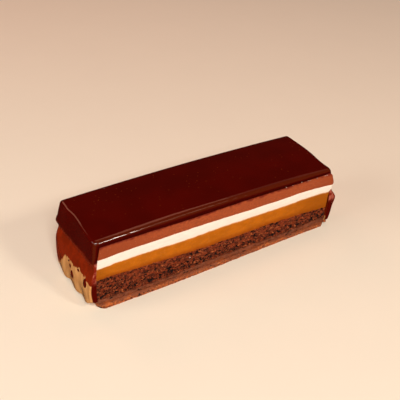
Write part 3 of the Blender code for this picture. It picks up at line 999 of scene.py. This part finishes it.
def glaze_finish(colors):
    """Dark mirror glaze, red-brown on the ends (its thinner skin, with painted light and reflection),
    with painted sheen and shade on the lip and a pale painted reflection of the floor, clear-coated,
    low on the ends.
    """
    recipe = Recipe("glaze")
    lip = recipe.stored("lip")
    drop = recipe.stored("drop")
    thin = recipe.mottled(colors.thin_glaze_and_reflection, 0.78, 1.08, recipe.clouds(3.6, tall=2.6), 0.36, 0.62)
    smudge = recipe.clouds(1.9, tall=1.5)
    thin = recipe.toward(thin, SKIN_SMUDGE, smudge, 0.60, 0.70, 0.5)
    edge = recipe.blend(recipe.ramp(recipe.clouds(2.2), 0.40, 0.60), EDGE_RED, EDGE_PINK)
    edge = recipe.toward(edge, EDGE_DARK, recipe.stored("wall"), 8.5, 11.5)
    thin = recipe.toward(thin, edge, lip, 0.42, 0.66)
    thick = recipe.mottled(colors.glaze, 0.94, 1.14, recipe.clouds(14.0, detail=1.0), 0.3, 0.7)
    thick = recipe.blend(recipe.dots(2.0, 0.15, 0.07, 0.52, 0.58, 0.6), thick, colors.speck)
    # A lighter band on the upper round of the lip is a painted sheen; lower down, painted shade
    # darkens the lip.
    painted_lip_sheen_band = recipe.math("MULTIPLY", recipe.ramp(lip, 0.02, 0.14), recipe.ramp(lip, 0.56, 0.36))
    thick = recipe.blend(painted_lip_sheen_band, thick, PAINTED_LIP_SHEEN)
    thick = recipe.toward(thick, PAINTED_LIP_SHADE, lip, 0.45, 0.75, 0.7)
    # Below the shoulders the dark glaze turns red-brown: partly the thinner skin's own colour, partly
    # painted light and painted reflection.
    color = recipe.toward(thick, thin, recipe.uneven("wall", 0.5, 4.0), -0.4, 1.6)
    # A pale patch low on the ends is a painted reflection of the floor. It leaves out the drops and
    # the lip, and the same mask gives a clear coat.
    rise = recipe.uneven("painted_reflection", 0.9, 2.6, 0.25, 0.75, tall=1.2)
    painted_reflection = recipe.math("MULTIPLY", recipe.ramp(rise, 0.25, -0.25), recipe.ramp(drop, 0.05, -0.05))
    painted_reflection = recipe.math("MULTIPLY", painted_reflection, recipe.ramp(lip, 0.66, 0.46))
    reflection_streaks = recipe.ramp(recipe.clouds(2.6, tall=3.0), 0.32, 0.68)
    sheen = recipe.blend(reflection_streaks, PAINTED_REFLECTION_DARK, PAINTED_REFLECTION_PALE)
    color = recipe.blend(recipe.math("MULTIPLY", painted_reflection, 0.92), color, sheen)
    color = recipe.toward(color, DROP_RED, drop, -0.05, 0.05)
    bump = recipe.relief(recipe.clouds(5.0, detail=1.0), 0.05, 0.4)
    # The clear coat lies where the painted reflection is.
    return recipe.done(
        base_color=color,
        roughness=0.07,
        ior=1.42,
        coat_weight=painted_reflection,
        coat_ior=1.4,
        coat_roughness=0.25,
        normal=bump,
    )


def crumb_finish(colors):
    """Loose crumbs, some dark and some pale, and pale specks that are painted highlights."""
    recipe = Recipe("crumbs")
    mottle = recipe.ramp(recipe.clouds(2.5), 0.42, 0.58)
    color = recipe.blend(mottle, shade(colors.sponge, 0.8), shade(colors.crunch, 0.9))
    color = recipe.blend(recipe.stored("pale"), color, PALE_CRUMB_AND_GLINT)
    bump = recipe.relief(recipe.clouds(0.3), 0.15, 0.8)
    return recipe.done(base_color=color, roughness=0.8, normal=bump)


def floor_finish(look):
    """A plain, pale, matt floor with a hint of paper grain."""
    recipe = Recipe("floor")
    color = recipe.blend(recipe.clouds(30.0), shade(look.floor, 0.985), shade(look.floor, 1.01))
    return recipe.done(base_color=color, roughness=0.85, specular_ior_level=0.2)


class CAKE_BAR_OT_crunch(Operator):
    """Build the crunchy base"""

    bl_idname = "cake_bar.crunch"
    bl_label = "Crunchy Base"

    def execute(self, context):
        shape = cut_layer(None, UNDER_GANACHE, CRUNCH_SIDE, CRUNCH_PORES, CRUMB_CELL)
        material = crunch_finish(context.scene.cake_bar_colors)
        finish(shape, "crunch_layer", material, ["crunch_base"])
        return {"FINISHED"}


class CAKE_BAR_OT_ganache(Operator):
    """Build the thin ganache on the base"""

    bl_idname = "cake_bar.ganache"
    bl_label = "Ganache"

    def execute(self, context):
        shape = cut_layer(UNDER_GANACHE, UNDER_SPONGE, GANACHE_SIDE, GANACHE_PORES, CRUMB_CELL)
        material = ganache_finish(context.scene.cake_bar_colors)
        finish(shape, "ganache_layer", material, ["ganache"])
        return {"FINISHED"}


class CAKE_BAR_OT_sponge(Operator):
    """Build the chocolate sponge"""

    bl_idname = "cake_bar.sponge"
    bl_label = "Sponge"

    def execute(self, context):
        shape = cut_layer(UNDER_SPONGE, UNDER_JELLY, SPONGE_SIDE, SPONGE_PORES, CRUMB_CELL)
        material = sponge_finish(context.scene.cake_bar_colors)
        finish(shape, "sponge_layer", material, ["sponge"])
        return {"FINISHED"}


class CAKE_BAR_OT_jelly(Operator):
    """Build the apricot jelly"""

    bl_idname = "cake_bar.jelly"
    bl_label = "Apricot Jelly"

    def execute(self, context):
        shape = cut_layer(UNDER_JELLY, UNDER_CREAM, JELLY_SIDE, NO_PORES, SOFT_CELL)
        material = jelly_finish(context.scene.cake_bar_colors)
        finish(shape, "jelly_layer", material, ["jelly"])
        return {"FINISHED"}


class CAKE_BAR_OT_cream(Operator):
    """Build the white cream"""

    bl_idname = "cake_bar.cream"
    bl_label = "Cream"

    def execute(self, context):
        shape = cut_layer(UNDER_CREAM, UNDER_MOUSSE, CREAM_SIDE, NO_PORES, SOFT_CELL)
        material = cream_finish(context.scene.cake_bar_colors)
        finish(shape, "cream_layer", material, ["cream"])
        return {"FINISHED"}


class CAKE_BAR_OT_mousse(Operator):
    """Build the chocolate mousse"""

    bl_idname = "cake_bar.mousse"
    bl_label = "Mousse"

    def execute(self, context):
        shape = cut_layer(UNDER_MOUSSE, UNDER_GLAZE, MOUSSE_SIDE, NO_PORES, SOFT_CELL)
        material = mousse_finish(context.scene.cake_bar_colors)
        finish(shape, "mousse_layer", material, ["mousse"])
        return {"FINISHED"}


class CAKE_BAR_OT_glaze(Operator):
    """Build the mirror glaze over the top and down both ends"""

    bl_idname = "cake_bar.glaze"
    bl_label = "Mirror Glaze"

    def execute(self, context):
        material = glaze_finish(context.scene.cake_bar_colors)
        finish(glaze_shape(), "mirror_glaze", material, ["glaze"])
        return {"FINISHED"}


class CAKE_BAR_OT_crumbs(Operator):
    """Scatter loose crumbs over the cut sides"""

    bl_idname = "cake_bar.crumbs"
    bl_label = "Loose Crumbs"

    def execute(self, context):
        rng = random.Random(CRUMB_SEED)
        shape = bmesh.new()
        stored_pale = shape.verts.layers.float.new("pale")
        # Pale crumbs, most of them pale specks painted as highlights along the glaze's lip.
        for x, z, size in PALE_CRUMBS_AND_GLINTS:
            point = settled(x, -HALF_WIDTH - PALE_CRUMB_AND_GLINT_PROUD, z)
            for vertex in crumb_chunk(shape, point, size, rng):
                vertex[stored_pale] = 1.0
        crumb_chunk(shape, settled(*FOOT_CRUMB_PLACE), FOOT_CRUMB_SIZE, rng)
        for front in (-1.0, 1.0):
            for _ in range(SPONGE_CRUMBS):
                x = rng.uniform(-60.5, 60.5)
                low = border_height(UNDER_SPONGE, x)
                high = border_height(UNDER_JELLY, x)
                z = rng.uniform(low, high + 0.3)
                size = rng.choice((0.25, 0.3, 0.35, 0.5))
                point = settled(x, front * (HALF_WIDTH - 0.15), z)
                crumb_chunk(shape, point, size, rng)
            for _ in range(BASE_CRUMBS):
                x = rng.uniform(-60.0, 60.5)
                z = rng.uniform(0.35, border_height(UNDER_SPONGE, x))
                point = settled(x, front * (HALF_WIDTH - 0.1), z)
                crumb_chunk(shape, point, rng.choice((0.2, 0.25, 0.35)), rng)
        material = crumb_finish(context.scene.cake_bar_colors)
        finish(shape, "loose_crumbs", material, [])
        return {"FINISHED"}


def aimed(name, place, width, height, power, color):
    """Adds a rectangular light at a place, facing the bar."""
    clear(name)
    lamp = bpy.data.lights.new(name, "AREA")
    lamp.shape = "RECTANGLE"
    lamp.size = width
    lamp.size_y = height
    lamp.energy = power
    lamp.color = color
    light = bpy.data.objects.new(name, lamp)
    light.location = place
    light.rotation_euler = (Vector(LIGHT_TARGET) - Vector(place)).to_track_quat("-Z", "Y").to_euler()
    bpy.context.scene.collection.objects.link(light)


def around(azimuth, elevation, distance):
    """A place as seen from the bar: 0 is straight in front and 90 to its right, in degrees."""
    turn = math.radians(azimuth)
    rise = math.radians(elevation)
    flat = math.cos(rise) * distance
    return Vector((math.sin(turn) * flat, -math.cos(turn) * flat, math.sin(rise) * distance))


class CAKE_BAR_OT_stage(Operator):
    """Set up the floor, the lights and the camera"""

    bl_idname = "cake_bar.stage"
    bl_label = "Stage"

    def execute(self, context):
        scene = context.scene
        look = scene.cake_bar_stage
        clear("floor")
        shape = bmesh.new()
        bmesh.ops.create_grid(shape, x_segments=8, y_segments=8, size=FLOOR_REACH)
        mesh = bpy.data.meshes.new("floor")
        shape.to_mesh(mesh)
        shape.free()
        mesh.materials.append(floor_finish(look))
        floor = bpy.data.objects.new("floor", mesh)
        # The floor is kept out of reflections; the glaze's pale patch on the ends is a painted
        # reflection of it instead.
        floor.visible_glossy = False
        scene.collection.objects.link(floor)

        key, strip, faint, left = (around(*place) for place in FRONT_LIGHTS)
        aimed("key", key, 0.46, 0.46, look.key, (1.0, 0.98, 0.95))
        aimed("strip", strip, 0.10, 0.10, look.strip, (1.0, 0.90, 0.80))
        aimed("strip_faint", faint, 0.17, 0.05, 0.09 * look.strip, (1.0, 0.6, 0.4))
        aimed("side", left, 0.35, 0.30, look.side, (1.0, 0.96, 0.9))
        aimed("rim_right", (0.195, 0.09, 0.58), 0.22, 0.18, 0.68 * look.rim, WARM_LIGHT)
        aimed("rim_far", (0.39, 0.09, 0.57), 0.22, 0.20, 0.18 * look.rim, WARM_LIGHT)
        aimed("rim_back", (-0.11, 0.50, 0.44), 0.26, 0.24, look.rim, WARM_LIGHT)
        world = scene.world or bpy.data.worlds.new("room")
        scene.world = world
        world.use_nodes = True
        background = world.node_tree.nodes["Background"]
        background.inputs["Color"].default_value = ROOM_COLOR
        background.inputs["Strength"].default_value = look.surround

        clear("camera")
        lens = bpy.data.cameras.new("camera")
        lens.sensor_width = SENSOR_WIDTH
        lens.lens = CAMERA_LENS
        lens.clip_start = 0.01
        lens.clip_end = 20.0
        camera = bpy.data.objects.new("camera", lens)
        roll = Quaternion((0.0, 0.0, 1.0), CAMERA_ROLL)
        camera.location = CAMERA_PLACE
        camera.rotation_euler = (Vector(CAMERA_LOOK).to_track_quat("-Z", "Y") @ roll).to_euler()
        scene.collection.objects.link(camera)
        scene.camera = camera
        scene.view_settings.view_transform = "Standard"
        return {"FINISHED"}


class CAKE_BAR_PT_panel(Panel):
    """Sizes, colours and the steps that build the bar."""

    bl_idname = "CAKE_BAR_PT_panel"
    bl_label = "Cake Bar"
    bl_space_type = "VIEW_3D"
    bl_region_type = "UI"
    bl_category = "Cake Bar"

    def draw(self, context):
        scene = context.scene
        for group in (scene.cake_bar_size, scene.cake_bar_colors, scene.cake_bar_stage):
            box = self.layout.box()
            for name in group.__annotations__:
                box.prop(group, name)
        for step in STEPS:
            self.layout.operator(step.bl_idname)


STEPS = (
    CAKE_BAR_OT_crunch,
    CAKE_BAR_OT_ganache,
    CAKE_BAR_OT_sponge,
    CAKE_BAR_OT_jelly,
    CAKE_BAR_OT_cream,
    CAKE_BAR_OT_mousse,
    CAKE_BAR_OT_glaze,
    CAKE_BAR_OT_crumbs,
    CAKE_BAR_OT_stage,
)
GROUPS = (
    ("cake_bar_size", BarSize),
    ("cake_bar_colors", BarColors),
    ("cake_bar_stage", StageLook),
)


def register():
    """Makes the settings, steps and panel known to Blender."""
    for name, group in GROUPS:
        bpy.utils.register_class(group)
        setattr(bpy.types.Scene, name, PointerProperty(type=group))
    for step in STEPS:
        bpy.utils.register_class(step)
    bpy.utils.register_class(CAKE_BAR_PT_panel)


def unregister():
    """Takes everything that register added away again."""
    bpy.utils.unregister_class(CAKE_BAR_PT_panel)
    for step in reversed(STEPS):
        bpy.utils.unregister_class(step)
    for name, group in reversed(GROUPS):
        delattr(bpy.types.Scene, name)
        bpy.utils.unregister_class(group)


def main():
    """Builds every piece and the stage."""
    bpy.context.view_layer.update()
    register()
    for step in STEPS:
        family, name = step.bl_idname.split(".")
        getattr(getattr(bpy.ops, family), name)()


if __name__ == "__main__":
    main()
